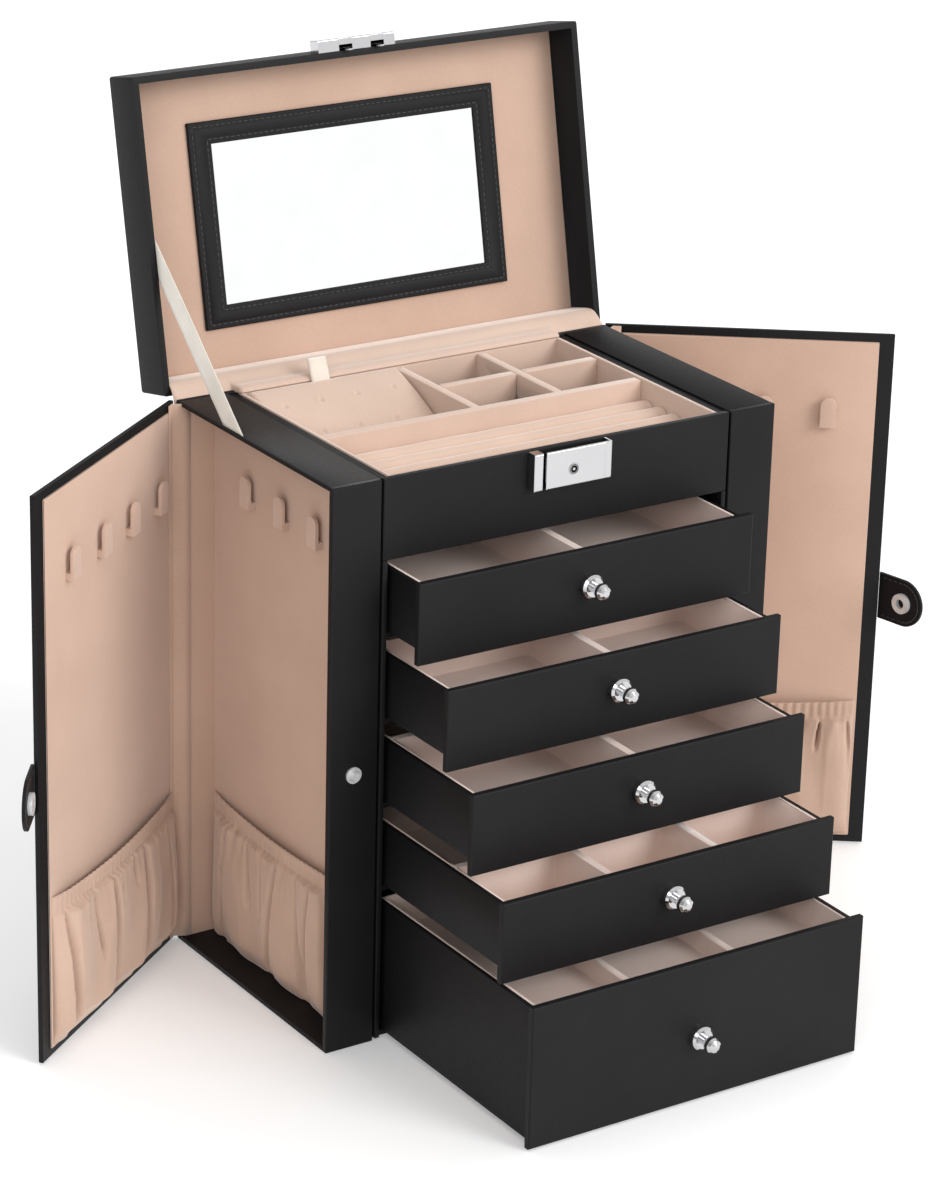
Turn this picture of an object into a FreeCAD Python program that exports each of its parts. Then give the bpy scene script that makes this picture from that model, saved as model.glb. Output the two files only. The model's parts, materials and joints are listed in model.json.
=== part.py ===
import FreeCAD
import Part

import math
import os

# Makeup case: a leather-covered box with a mirror lid, a lined top tray, five drawers and
# two side doors that close over shallow lined niches. Millimetres, X right, Y back, Z up.
# The origin is the centre of the underside of the base. Every piece is built where it lies
# in the shut case, then moved to the pose of rest: lid and doors open, drawers stepped out.

V = FreeCAD.Vector
X_AXIS = V(1, 0, 0)
Y_AXIS = V(0, 1, 0)
Z_AXIS = V(0, 0, 1)

# Case, overall
case_width = 262.0
case_depth = 152.0
case_height = 300.0
face_board = 3.5
base_board_thickness = 3.0
roof_thickness = 2.0
edge_radius = 0.8
cut_margin = 1.0
round_end_flat = 0.2
on_face = 0.01
parallel = 0.99

# Pillars, carcass and side niches
pillar_width = 27.5
pillar_groove = 1.2
carcass_thickness = 4.0
carcass_top_drop = 1.0
niche_pad_thickness = 8.5
niche_back_thickness = 2.5
niche_side_inset = 1.4

# Drawers: fronts tile below the top panel, the lowest one is taller
front_panel_pitch = 42.0
drawer_lowest_pitch = 76.0
drawer_stack_foot = 1.0
front_gap = 3.0
lowest_front_gap = 0.6
front_side_gap = 0.4
front_above_box = 2.4
front_below_box = 6.6
box_side_inset = 2.7
box_wall = 2.4
box_floor = 2.6
box_back_gap = 2.5
insert_wall = 1.5
insert_floor = 2.0
insert_depths = [25.2, 25.2, 25.2, 25.2, 17.5]
partition_thickness = 4.4
partition_drop = 0.6
lowest_partition_drop = 7.0
slide_gap = 0.3
shelf_thickness = 2.8
shelf_front_gap = 0.2
shelf_under_panel = 0.6
room_count = [2, 2, 2, 3, 3]
cross_wall_from_front = [0, 68.0, 74.0, 43.0, 0]
drawer_pulled_out = [28.0, 55.0, 78.5, 106.5, 134.0]

# Drawer knobs
knob_height_in_front = 23.3
knob_height_in_lowest = 35.0
knob_collar_radius = 6.2
knob_collar_length = 3.2
knob_cup_radius = 5.0
knob_cup_length = 1.2
knob_neck_radius = 2.5
knob_neck_length = 2.6
knob_ball_radius = 4.3
knob_ball_bands = 6
turned_sides = 24
knob_stem_radius = 2.0
knob_stem_gap = 0.05

# Top tray
tray_wall = 2.2
tray_back_wall = 4.1
tray_front_wall = 1.2
tray_top_drop = 0.2
tray_side_inset = 2.1
tray_side_gap = 0.2
tray_partition = 5.2
tray_rail = 6.0
tray_partition_drop = 1.0
rail_from_front = 65.8
partition_a_x = -3.2
partition_b_x = 47.2
cross_from_back = 35.7
roll_count = 5
roll_gap = 0.4
roll_crown = 5.2
roll_drop = 9.0

# Earring board: a flap hinged at its low front edge
flap_thickness = 2.4
flap_crown = 4.0
flap_side_gap = 0.4
flap_hinge_gap = 0.2
flap_bead_radius = 1.3
flap_hinge_height = 4.5
flap_back_gap = 1.3
flap_top_rise = 1.4
flap_ledge_height = 4.0
flap_ledge_depth = 3.4
flap_rest_gap = 0.3
stud_hole_radius = 0.9
stud_hole_columns = 4
stud_hole_pitch = 21.4
stud_hole_rows = [17.0, 39.0]
ribbon_width = 10.8
ribbon_centre_x = -51.0
ribbon_thickness = 0.7
ribbon_height = 14.0
ribbon_lean = 3.2

# Lid
lid_side_overhang = 2.7
lid_front_overhang = 4.0
lid_depth = 24.95
lid_wall = 3.6
lid_roof = 2.4
lid_back_overhang = 4.5
lid_gap = 0.3
lid_open_angle = 101.6
lid_axis_behind = 1.0
lid_axis_below_rim = 1.3
lid_edge_radius = 1.4
lid_lining_thickness = 1.45
lid_skirt_thickness = 0.7
lining_gap = 0.1

# Mirror
mirror_centre_x = -3.0
mirror_frame_width = 184.5
mirror_frame_height = 106.0
mirror_window_width = 158.5
mirror_window_height = 82.5
mirror_from_hinge = 26.5
mirror_frame_thickness = 2.2
mirror_glass_thickness = 1.2
mirror_lip = 3.0
mirror_glass_gap = 0.2

# Hasp on the lid and lock on the top panel
hasp_width = 46.0
hasp_centre_x = -2.0
hasp_height = 8.0
hasp_above_rim = 1.0
hasp_depth = 6.5
hasp_wall = 1.2
hook_pitch = 19.0
hook_centre_x = 0.8
hook_slot_width = 8.0
hook_width = 4.4
hook_thickness = 0.8
hook_reach = 6.0
hook_gap_from_lid = 0.1
lock_left_x = -12.7
lock_right_x = 26.0
lock_height = 19.3
lock_depth = 6.2
lock_wall = 1.0
lock_cap_width = 4.4
lock_cap_proud = 0.7
lock_cap_foot = 1.4
lock_cap_radius = 1.4
lock_top_drop = 0.2
button_width = 5.3
button_gap = 1.8
button_travel = 1.5
latch_thickness = 1.0
latch_height = 12.0
latch_gap = 0.3
key_centre_x = 3.4
key_below_lock_top = 10.8
key_radius = 3.0
key_gap = 0.12
key_proud = 0.2
key_length = 1.6
keyway_radius = 1.9
keyway_depth = 0.8
key_post_radius = 0.7
key_post_recess = 0.1

# Side doors
door_front_overhang = 3.6
door_foot = 1.0
door_top_drop = 0.2
door_thickness = 2.7
door_side_gap = 0.2
door_hinge_behind = 1.0
door_hinge_clear = 0.3
door_l_open_angle = 53.9
door_r_open_angle = 54.2
door_lining_thickness = 1.2
door_lining_front_gap = 1.0
door_lining_back_gap = 0.5
door_lining_end_gap = 4.5

# Leather hinges: a strip on the back with a round bead along the axis
hinge_strip = 1.0
hinge_strip_reach = 18.0
hinge_bead_radius = 1.0
hinge_end_inset = 5.0
lid_bead_radius = 1.3
lid_hinge_half_width = 120.0
lid_hinge_drop = 26.0
lid_hinge_flange = 1.4

# Snap tabs and studs
tab_width = 26.5
tab_centre_z = 149.5
tab_thickness = 1.6
tab_bead_radius = 0.8
tab_bead_clear = 0.3
tab_l_fold_angle = 18.0
tab_r_fold_angle = 43.0
snap_from_edge = 16.5
socket_radius = 5.6
socket_thickness = 2.2
socket_bore_radius = 2.6
socket_cap_radius = 6.0
socket_cap_thickness = 1.0
stud_base_radius = 4.25
stud_base_thickness = 1.0
stud_head_radius = 2.2
stud_neck_radius = 1.7
stud_neck_length = 0.96
stud_head_bevel = 0.42
stud_length = 3.2

# Necklace hooks
hook_tongue_width = 8.6
hook_tongue_height = 16.5
hook_tongue_thickness = 1.8
hook_tongue_gap = 2.6
hook_foot_height = 3.6
door_hook_from_hinge = [22.5, 55.0, 87.5, 122.0]
door_hook_drop = 52.5
niche_hook_from_front = [12.0, 44.0, 76.0, 109.0]
niche_hook_drop = 47.0

# Gathered pockets
pocket_cloth = 1.2
pocket_folds = 11
pocket_fold_facets = 4
pocket_fold_unevenness = 0.3
pocket_drift_rate = 2.4
pocket_foot_rise = 2.0
pocket_band = 13.0
pocket_end_gap = 1.5
door_pocket_rise = 85.0
door_pocket_depths = [4.6, 8.4, 6.6]
niche_pocket_rise = 81.0
niche_pocket_depths = [4.4, 6.4, 5.6]
pocket_fold_height = 1.4
pocket_belly = 0.42

# Stay strap between lid and case
strap_width = 12.5
strap_thickness = 0.6
strap_lid_from_hinge = 68.0
strap_case_y = 20.3

# Places worked out from the sizes above
half_width = case_width / 2
front_y = -case_depth / 2
back_y = case_depth / 2
inner_front_y = front_y + face_board
inner_back_y = back_y - face_board
roof_underside = case_height - roof_thickness
pillar_inner_x = half_width - pillar_width
bay_half_width = pillar_inner_x - carcass_thickness
centre_half_width = pillar_inner_x - pillar_groove
niche_wall_x = pillar_inner_x + niche_pad_thickness

drawer_pitch = (case_height - front_panel_pitch - drawer_lowest_pitch - drawer_stack_foot) / 4
drawer_feet = []
drawer_tops = []
top_of_stack = drawer_stack_foot + drawer_lowest_pitch + 4 * drawer_pitch
for number in range(4):
    drawer_tops.append(top_of_stack - number * drawer_pitch - front_gap)
    drawer_feet.append(top_of_stack - (number + 1) * drawer_pitch)
drawer_tops.append(drawer_stack_foot + drawer_lowest_pitch - lowest_front_gap)
drawer_feet.append(drawer_stack_foot)

tray_floor_top = top_of_stack + shelf_under_panel + shelf_thickness
tray_half_width = bay_half_width - tray_side_inset
tray_inner_x = tray_half_width - tray_wall
tray_inner_front_y = inner_front_y + tray_front_wall
tray_inner_back_y = inner_back_y - tray_back_wall
rail_front_y = inner_front_y + rail_from_front - tray_rail / 2
rail_back_y = rail_front_y + tray_rail
cross_centre_y = tray_inner_back_y - cross_from_back
tray_top = case_height - tray_top_drop
partition_top = case_height - tray_partition_drop

lid_rim_z = case_height + lid_gap
lid_width = case_width + 2 * lid_side_overhang
lid_back_y = back_y + lid_back_overhang
lid_front_y = front_y - lid_front_overhang
lid_lining_z = lid_rim_z + lid_depth - lid_roof - lid_lining_thickness
lid_axis = V(0, lid_back_y + lid_axis_behind, lid_rim_z - lid_axis_below_rim)

door_inner_x = half_width + door_side_gap
door_outer_x = door_inner_x + door_thickness
door_axis_y = back_y + door_hinge_behind
door_back_y = door_axis_y - hinge_bead_radius - door_hinge_clear
door_front_y = front_y - door_front_overhang
door_height = case_height - door_top_drop - door_foot
door_lining_x = door_inner_x - door_lining_thickness
tab_axis_y = door_front_y - tab_bead_radius - tab_bead_clear


def box(x0, x1, y0, y1, z0, z1):
    return Part.makeBox(x1 - x0, y1 - y0, z1 - z0, V(x0, y0, z0))


def single(shape):
    return shape.Solids[0] if len(shape.Solids) == 1 else shape


def soften(shape, radius, wanted):
    # Rounds the edges whose middle point passes the test
    edges = [edge for edge in shape.Edges if wanted(edge.CenterOfMass, edge)]
    return single(shape.makeFillet(radius, edges))


def along(edge, axis):
    direction = edge.Vertexes[-1].Point - edge.Vertexes[0].Point
    return abs(direction.normalize().dot(axis)) > parallel


def mirrored(shape):
    return shape.mirror(V(0, 0, 0), X_AXIS)


def both_sides(shape):
    return [mirrored(shape), shape]


def extruded(points, vector):
    face = Part.Face(Part.makePolygon(points + [points[0]]))
    return face.extrude(vector)


def disc(x, y0, y1, z, radius):
    return Part.makeCylinder(radius, y1 - y0, V(x, y0, z), Y_AXIS)


def turned(profile, centre):
    # Turns (radius, distance in front) points about the line along -Y through centre; the
    # small turned parts repeat, so each is a fine prism of flat facets instead of round faces
    rings = []
    for radius, distance in profile:
        angles = [2 * math.pi * side / turned_sides for side in range(turned_sides)]
        rings.append([centre + V(radius * math.cos(a), -distance, radius * math.sin(a)) for a in angles])
    faces = []
    for (ring, following), ends in zip(zip(rings, rings[1:]), zip(profile, profile[1:])):
        for side in range(turned_sides):
            after = (side + 1) % turned_sides
            corners = [ring[side]]
            if ends[0][0] > 0:
                corners.append(ring[after])
            if ends[1][0] > 0:
                corners.append(following[after])
            corners.append(following[side])
            faces.append(Part.Face(Part.makePolygon(corners + [corners[0]])))
    return Part.makeSolid(Part.makeShell(faces))


def save(node, shapes):
    shape = shapes[0] if len(shapes) == 1 else Part.Compound(shapes)
    shape.exportStep("parts/" + node + ".step")
    triangles = len(shape.tessellate(0.2)[1])
    print(node, len(shape.Solids), "solids", triangles, "triangles", "valid", shape.isValid())


# Moves from the shut case to the pose of rest
def lid_at_rest(shape):
    moved = shape.copy()
    moved.rotate(lid_axis, X_AXIS, -lid_open_angle)
    return moved


def door_at_rest(shape, side):
    moved = shape.copy()
    angle = door_r_open_angle if side > 0 else -door_l_open_angle
    moved.rotate(V(side * door_inner_x, door_axis_y, 0), Z_AXIS, angle)
    return moved


def tab_at_rest(shape, side):
    moved = shape.copy()
    fold = -tab_r_fold_angle if side > 0 else tab_l_fold_angle
    moved.rotate(V(side * door_outer_x, tab_axis_y, 0), Z_AXIS, fold)
    return door_at_rest(moved, side)


def drawer_at_rest(shape, number):
    moved = shape.copy()
    moved.translate(V(0, -drawer_pulled_out[number], 0))
    return moved


# Case shell
def base_board():
    return box(-half_width, half_width, inner_front_y, inner_back_y, 0, base_board_thickness)


def back_panel():
    panel = box(-half_width, half_width, inner_back_y, back_y, 0, case_height)
    return soften(panel, edge_radius, lambda c, e: c.y > back_y - on_face)


def pillar():
    post = box(pillar_inner_x, half_width, front_y, inner_front_y, 0, case_height)
    return soften(post, edge_radius, lambda c, e: c.y < front_y + on_face)


def roof():
    board = box(pillar_inner_x, half_width, inner_front_y, inner_back_y, roof_underside, case_height)
    outer = lambda c, e: c.x > half_width - on_face and c.z > case_height - on_face
    return soften(board, edge_radius, outer)


def carcass_side():
    # The front edge shows beside the drawers and steps back behind the top panel
    top = case_height - carcass_top_drop
    core = box(bay_half_width, pillar_inner_x, inner_front_y, inner_back_y, base_board_thickness, top)
    lip = box(bay_half_width, centre_half_width, front_y, inner_front_y, drawer_stack_foot, top_of_stack)
    rim = box(tray_half_width + tray_side_gap, bay_half_width, inner_front_y, inner_back_y,
              tray_floor_top, top)
    return single(core.fuse([lip, rim]).removeSplitter())


def niche_lining(side):
    pad = box(pillar_inner_x, niche_wall_x, inner_front_y, inner_back_y,
              base_board_thickness, roof_underside)
    pad = soften(pad, edge_radius, lambda c, e: c.x > niche_wall_x - on_face and along(e, Z_AXIS))
    strip = box(niche_wall_x, half_width - niche_side_inset, inner_back_y - niche_back_thickness,
                inner_back_y, base_board_thickness, roof_underside)
    return [pad, strip] if side > 0 else [mirrored(pad), mirrored(strip)]


def shelves():
    levels = [foot + front_below_box - slide_gap for foot in drawer_feet[:4]] + [tray_floor_top]
    return [box(-bay_half_width, bay_half_width, inner_front_y + shelf_front_gap, inner_back_y,
                level - shelf_thickness, level) for level in levels]


def front_panel():
    panel = box(-centre_half_width, centre_half_width, front_y, inner_front_y,
                top_of_stack, case_height)
    return soften(panel, edge_radius, lambda c, e: c.y < front_y + on_face)


# Top tray
def tray_lining():
    outer = box(-tray_half_width, tray_half_width, inner_front_y, inner_back_y, tray_floor_top, tray_top)
    inner = box(-tray_inner_x, tray_inner_x, tray_inner_front_y, tray_inner_back_y,
                tray_floor_top, tray_top)
    ledge_y = tray_inner_back_y - flap_ledge_depth
    ledge_top = flap_at(ledge_y, -flap_thickness / 2).z - flap_rest_gap
    ledge = box(-tray_inner_x, partition_a_x - tray_partition / 2, ledge_y, tray_inner_back_y,
                ledge_top - flap_ledge_height, ledge_top)
    return single(outer.cut(inner).fuse(ledge).removeSplitter())


def tray_partitions():
    # A rail across the tray, two partitions behind it and one cross piece, half lapped
    half = tray_partition / 2
    middle_z = (tray_floor_top + partition_top) / 2
    rail = box(-tray_inner_x, tray_inner_x, rail_front_y, rail_back_y, tray_floor_top, partition_top)
    walls = [box(x - half, x + half, rail_back_y, tray_inner_back_y, tray_floor_top, partition_top)
             for x in (partition_a_x, partition_b_x)]
    cross = box(partition_a_x + half, tray_inner_x, cross_centre_y - half, cross_centre_y + half,
                tray_floor_top, partition_top)
    lap = box(partition_b_x - half, partition_b_x + half, cross_centre_y - half, cross_centre_y + half,
              tray_floor_top, middle_z)
    walls[1] = single(walls[1].cut(lap))
    lap.translate(V(0, 0, middle_z - tray_floor_top))
    cross = single(cross.cut(lap))
    return [rail] + walls + [cross]


def ring_rolls():
    # Padded rolls with round crowns; rings stand in the slits between them
    room = rail_front_y - tray_inner_front_y
    pitch = room / roll_count
    foot = tray_floor_top
    shoulder = partition_top - roll_drop - roll_crown
    rolls = []
    for number in range(roll_count):
        y0 = tray_inner_front_y + number * pitch + roll_gap / 2
        y1 = y0 + pitch - roll_gap
        x = -tray_inner_x + roll_gap
        a, b, c, d = V(x, y0, foot), V(x, y1, foot), V(x, y1, shoulder), V(x, y0, shoulder)
        crown = Part.Arc(c, V(x, (y0 + y1) / 2, shoulder + roll_crown), d).toShape()
        edges = [Part.makeLine(a, b), Part.makeLine(b, c), crown, Part.makeLine(d, a)]
        rolls.append(Part.Face(Part.Wire(edges)).extrude(V(2 * (tray_inner_x - roll_gap), 0, 0)))
    return rolls


# Earring board, a padded slope from its hinge behind the rail up to the back of the tray
flap_axis = V(0, rail_back_y + flap_hinge_gap + flap_bead_radius, tray_floor_top + flap_hinge_height)
flap_back = V(0, tray_inner_back_y - flap_back_gap, case_height + flap_top_rise - flap_thickness / 2)
flap_slope = (flap_back - flap_axis).normalize()
flap_normal = X_AXIS.cross(flap_slope)
flap_left_x = flap_side_gap - tray_inner_x
flap_right_x = partition_a_x - tray_partition / 2 - flap_side_gap


def flap_point(distance, height, x=0.0):
    return flap_axis + flap_slope * distance + flap_normal * height + V(x, 0, 0)


def flap_at(y, height, x=0.0):
    # The point of a line parallel to the slope that lies at y
    start = flap_point(0, height, x)
    return start + flap_slope * ((y - start.y) / flap_slope.y)


def earring_board():
    # Flat card below, padding with a crown above, a plumb back edge and a bead at the hinge
    half = flap_thickness / 2
    x0 = flap_left_x
    width = flap_right_x - x0
    corners = [flap_point(0, half, x0), flap_point(0, -half, x0),
               flap_at(flap_back.y, -half, x0), flap_at(flap_back.y, half, x0)]
    crown = (corners[0] + corners[3]) * 0.5 + flap_normal * flap_crown
    edges = [Part.makeLine(corners[i], corners[i + 1]) for i in range(3)]
    edges.append(Part.Arc(corners[3], crown, corners[0]).toShape())
    board = Part.Face(Part.Wire(edges)).extrude(V(width, 0, 0))
    board = board.fuse(Part.makeCylinder(flap_bead_radius, width, flap_axis + V(x0, 0, 0), X_AXIS))
    length = (flap_back - flap_axis).Length
    depth = 2 * flap_thickness + flap_crown
    for index, row in enumerate(stud_hole_rows):
        holes = stud_hole_columns - index % 2
        first = x0 + (width - (holes - 1) * stud_hole_pitch) / 2
        for column in range(holes):
            start = flap_point(length - row, -flap_thickness, first + column * stud_hole_pitch)
            board = board.cut(Part.makeCylinder(stud_hole_radius, depth, start, flap_normal))
    return single(board)


def pull_ribbon():
    # Glued to the board's back edge, it stands up and leans to the left
    x0, x1 = ribbon_centre_x - ribbon_width / 2, ribbon_centre_x + ribbon_width / 2
    foot = flap_at(flap_back.y, -flap_thickness / 2)
    rise = V(-ribbon_lean, 0, ribbon_height)
    points = [foot + V(x0, 0, 0), foot + V(x1, 0, 0), foot + V(x1, 0, 0) + rise, foot + V(x0, 0, 0) + rise]
    return extruded(points, V(0, ribbon_thickness, 0))


# Drawers
def drawer_front(number):
    half = bay_half_width - front_side_gap
    foot, top = drawer_feet[number], drawer_tops[number]
    front = box(-half, half, front_y, inner_front_y, foot, top)
    front = soften(front, edge_radius, lambda c, e: c.y < front_y + on_face)
    hole = disc(0, front_y - cut_margin, inner_front_y + cut_margin, knob_z(number),
                knob_stem_radius + knob_stem_gap)
    return single(front.cut(hole))


def knob_z(number):
    height = knob_height_in_lowest if number == 4 else knob_height_in_front
    return drawer_feet[number] + height


def box_foot(number):
    # The lowest box slides on the base, the others on the shelf that their front hides
    if number == 4:
        return base_board_thickness + slide_gap
    return drawer_feet[number] + front_below_box


def drawer_box(number):
    half = bay_half_width - front_side_gap - box_side_inset
    foot, top = box_foot(number), drawer_tops[number] - front_above_box
    back = inner_back_y - box_back_gap
    outer = box(-half, half, inner_front_y, back, foot, top)
    inner = box(-half + box_wall, half - box_wall, inner_front_y + box_wall, back - box_wall,
                foot + box_floor, top)
    return single(outer.cut(inner))


def drawer_insert(number):
    # Lining with its partitions; its padded floor, in the lowest drawer a raised tray's floor
    half = bay_half_width - front_side_gap - box_side_inset - box_wall
    y0 = inner_front_y + box_wall
    y1 = inner_back_y - box_back_gap - box_wall
    foot, top = box_foot(number) + box_floor, drawer_tops[number] - front_above_box
    inner_half = half - insert_wall
    front_y0, back_y1 = y0 + insert_wall, y1 - insert_wall
    rooms = room_count[number]
    room_width = (2 * inner_half - (rooms - 1) * partition_thickness) / rooms
    floor = top - insert_depths[number]
    drop = lowest_partition_drop if number == 4 else partition_drop
    insert = box(-half, half, y0, y1, foot, top)
    insert = insert.cut(box(-inner_half, inner_half, front_y0, back_y1, top - drop, top))
    spans = [(front_y0, back_y1)]
    if cross_wall_from_front[number]:
        cross_y = front_y0 + cross_wall_from_front[number]
        spans = [(front_y0, cross_y), (cross_y + partition_thickness, back_y1)]
    for room in range(rooms):
        x0 = -inner_half + room * (room_width + partition_thickness)
        for span in spans:
            insert = insert.cut(box(x0, x0 + room_width, span[0], span[1], floor, top))
    hollow_top = floor - insert_floor
    if number == 4:
        insert = insert.cut(box(-inner_half, inner_half, front_y0, back_y1, foot, hollow_top))
    return single(insert.removeSplitter())


def drawer_knob(number):
    # A turned knob: stem through the front, collar with a cupped end, neck and ball
    collar_end = knob_collar_length + knob_cup_length
    neck_end = collar_end + knob_neck_length
    centre = neck_end + math.sqrt(knob_ball_radius ** 2 - knob_neck_radius ** 2)
    profile = [(0, -face_board), (knob_stem_radius, -face_board), (knob_stem_radius, 0),
               (knob_collar_radius, 0), (knob_collar_radius, knob_collar_length),
               (knob_cup_radius, collar_end), (knob_neck_radius, collar_end)]
    start = math.asin(knob_neck_radius / knob_ball_radius)
    for band in range(knob_ball_bands):
        angle = start + (math.pi - start) * band / knob_ball_bands
        profile.append((knob_ball_radius * math.sin(angle), centre - knob_ball_radius * math.cos(angle)))
    profile.append((0, centre + knob_ball_radius))
    return turned(profile, V(0, front_y, knob_z(number)))


# Lid, built shut
def lid_shell():
    half = lid_width / 2
    outer = box(-half, half, lid_front_y, lid_back_y, lid_rim_z, lid_rim_z + lid_depth)
    outer = soften(outer, lid_edge_radius,
                   lambda c, e: c.z > lid_rim_z + lid_depth - on_face or along(e, Z_AXIS))
    inner = box(-half + lid_wall, half - lid_wall, lid_front_y + lid_wall, lid_back_y - lid_wall,
                lid_rim_z, lid_rim_z + lid_depth - lid_roof)
    return single(outer.cut(inner))


def lid_lining():
    # A lined card under the lid's roof and a skirt down the back wall
    half = lid_width / 2 - lid_wall - lining_gap
    y0 = lid_front_y + lid_wall + lining_gap
    y1 = lid_back_y - lid_wall
    card = box(-half, half, y0, y1, lid_lining_z, lid_lining_z + lid_lining_thickness)
    skirt = box(-half, half, y1 - lid_skirt_thickness, y1, lid_rim_z + lining_gap, lid_lining_z)
    return single(card.fuse(skirt).removeSplitter())


mirror_centre_y = lid_back_y - mirror_from_hinge - mirror_frame_height / 2


def centred_plate(width, height, z0, z1):
    return box(mirror_centre_x - width / 2, mirror_centre_x + width / 2,
               mirror_centre_y - height / 2, mirror_centre_y + height / 2, z0, z1)


def mirror_frame():
    z0 = lid_lining_z - mirror_frame_thickness
    plate = centred_plate(mirror_frame_width, mirror_frame_height, z0, lid_lining_z)
    plate = soften(plate, edge_radius, lambda c, e: c.z < z0 + on_face)
    window = centred_plate(mirror_window_width, mirror_window_height, z0, lid_lining_z)
    seat = centred_plate(mirror_window_width + 2 * mirror_lip, mirror_window_height + 2 * mirror_lip,
                         lid_lining_z - mirror_glass_thickness, lid_lining_z)
    return single(plate.cut(window).cut(seat))


def mirror_glass():
    rim = 2 * (mirror_lip - mirror_glass_gap)
    return centred_plate(mirror_window_width + rim, mirror_window_height + rim,
                         lid_lining_z - mirror_glass_thickness, lid_lining_z)


def hasp():
    # A shallow chrome case on the lid's front wall; two hooks hang out of its underside
    x0, x1 = hasp_centre_x - hasp_width / 2, hasp_centre_x + hasp_width / 2
    z0 = lid_rim_z + hasp_above_rim
    y0 = lid_front_y - hasp_depth
    body = box(x0, x1, y0, lid_front_y, z0, z0 + hasp_height)
    body = soften(body, edge_radius, lambda c, e: c.y < y0 + on_face)
    hooks = []
    for side in (-1, 1):
        x = hook_centre_x + side * hook_pitch / 2
        body = body.cut(box(x - hook_slot_width / 2, x + hook_slot_width / 2, y0 + hasp_wall,
                            lid_front_y, z0, z0 + hasp_height - hasp_wall))
        hook_y = lid_front_y - hook_gap_from_lid
        hook = box(x - hook_width / 2, x + hook_width / 2, hook_y - hook_thickness, hook_y,
                   z0 + hasp_above_rim - hook_reach, z0 + hasp_height - hasp_wall)
        hooks.append(soften(hook, hook_width / 2 - round_end_flat,
                            lambda c, e: c.z < z0 and along(e, Y_AXIS)))
    return single(body.fuse(hooks).removeSplitter())


# Lock on the top panel
lock_top = case_height - lock_top_drop
lock_foot = lock_top - lock_height
key_z = lock_top - key_below_lock_top
lock_face_y = front_y - lock_depth


def lock_body():
    shell = box(lock_left_x, lock_right_x, lock_face_y, front_y, lock_foot, lock_top)
    shell = soften(shell, edge_radius, lambda c, e: c.y < lock_face_y + on_face)
    hollow = box(lock_left_x, lock_right_x - lock_wall, lock_face_y + lock_wall, front_y,
                 lock_foot + lock_wall, lock_top)
    bore = disc(key_centre_x, lock_face_y - cut_margin, lock_face_y + lock_wall + cut_margin,
                key_z, key_radius + key_gap)
    cap_face_y = lock_face_y - lock_cap_proud
    cap = box(lock_right_x - lock_cap_width, lock_right_x, cap_face_y, lock_face_y + lock_wall,
              lock_foot + lock_cap_foot, lock_top)
    cap = soften(cap, lock_cap_radius, lambda c, e: c.y < cap_face_y + on_face and along(e, Z_AXIS))
    return single(shell.cut(hollow).cut(bore).fuse(cap).removeSplitter())


def lock_button():
    # Thumb button beside the lock with the latch plate that runs in behind the hooks
    x1 = lock_left_x - button_gap
    button = box(x1 - button_width, x1, lock_face_y, front_y - latch_gap, lock_foot, lock_top)
    button = soften(button, edge_radius, lambda c, e: c.y < lock_face_y + on_face)
    plate_y = lid_front_y - hook_gap_from_lid + latch_gap
    middle = lock_foot + lock_height / 2
    reach = lock_right_x - lock_wall - button_travel - latch_gap
    plate = box(x1, reach, plate_y, plate_y + latch_thickness,
                middle - latch_height / 2, middle + latch_height / 2)
    return single(button.fuse(plate).removeSplitter())


def key_barrel():
    y0 = lock_face_y - key_proud
    barrel = disc(key_centre_x, y0, y0 + key_length, key_z, key_radius)
    barrel = barrel.cut(disc(key_centre_x, y0 - cut_margin, y0 + keyway_depth, key_z, keyway_radius))
    post = disc(key_centre_x, y0 + key_post_recess, y0 + key_length, key_z, key_post_radius)
    return single(barrel.fuse(post).removeSplitter())


# Side doors, built shut on the right
def door_panel(side):
    panel = box(door_inner_x, door_outer_x, door_front_y, door_back_y, door_foot, door_foot + door_height)
    panel = soften(panel, edge_radius, lambda c, e: c.x > door_outer_x - on_face)
    return place_side(panel, side)


def place_side(shape, side):
    return shape if side > 0 else mirrored(shape)


def door_lining(side):
    lining = box(door_lining_x, door_inner_x, inner_front_y + door_lining_front_gap,
                 inner_back_y - door_lining_back_gap,
                 door_foot + door_lining_end_gap, case_height - door_lining_end_gap)
    return place_side(lining, side)


def tongue_hook(wall_x, out, centre_y, foot_z):
    # A round-topped tongue that stands off the wall on a foot
    half = hook_tongue_width / 2
    far = wall_x + out * (hook_tongue_gap + hook_tongue_thickness)
    near = wall_x + out * hook_tongue_gap
    top = foot_z + hook_tongue_height
    tongue = box(min(near, far), max(near, far), centre_y - half, centre_y + half, foot_z, top)
    foot = box(min(wall_x, far), max(wall_x, far), centre_y - half, centre_y + half,
               foot_z, foot_z + hook_foot_height)
    hook = tongue.fuse(foot).removeSplitter()
    return soften(hook, half - round_end_flat, lambda c, e: c.z > top - on_face and along(e, X_AXIS))


def door_hooks(side):
    hooks = [tongue_hook(door_lining_x, -1, back_y - reach, case_height - door_hook_drop)
             for reach in door_hook_from_hinge]
    return [place_side(hook, side) for hook in hooks]


def niche_hooks():
    hooks = [tongue_hook(niche_wall_x, 1, front_y + reach, case_height - niche_hook_drop)
             for reach in niche_hook_from_front]
    return [place_side(hook, side) for side in (-1, 1) for hook in hooks]


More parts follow.
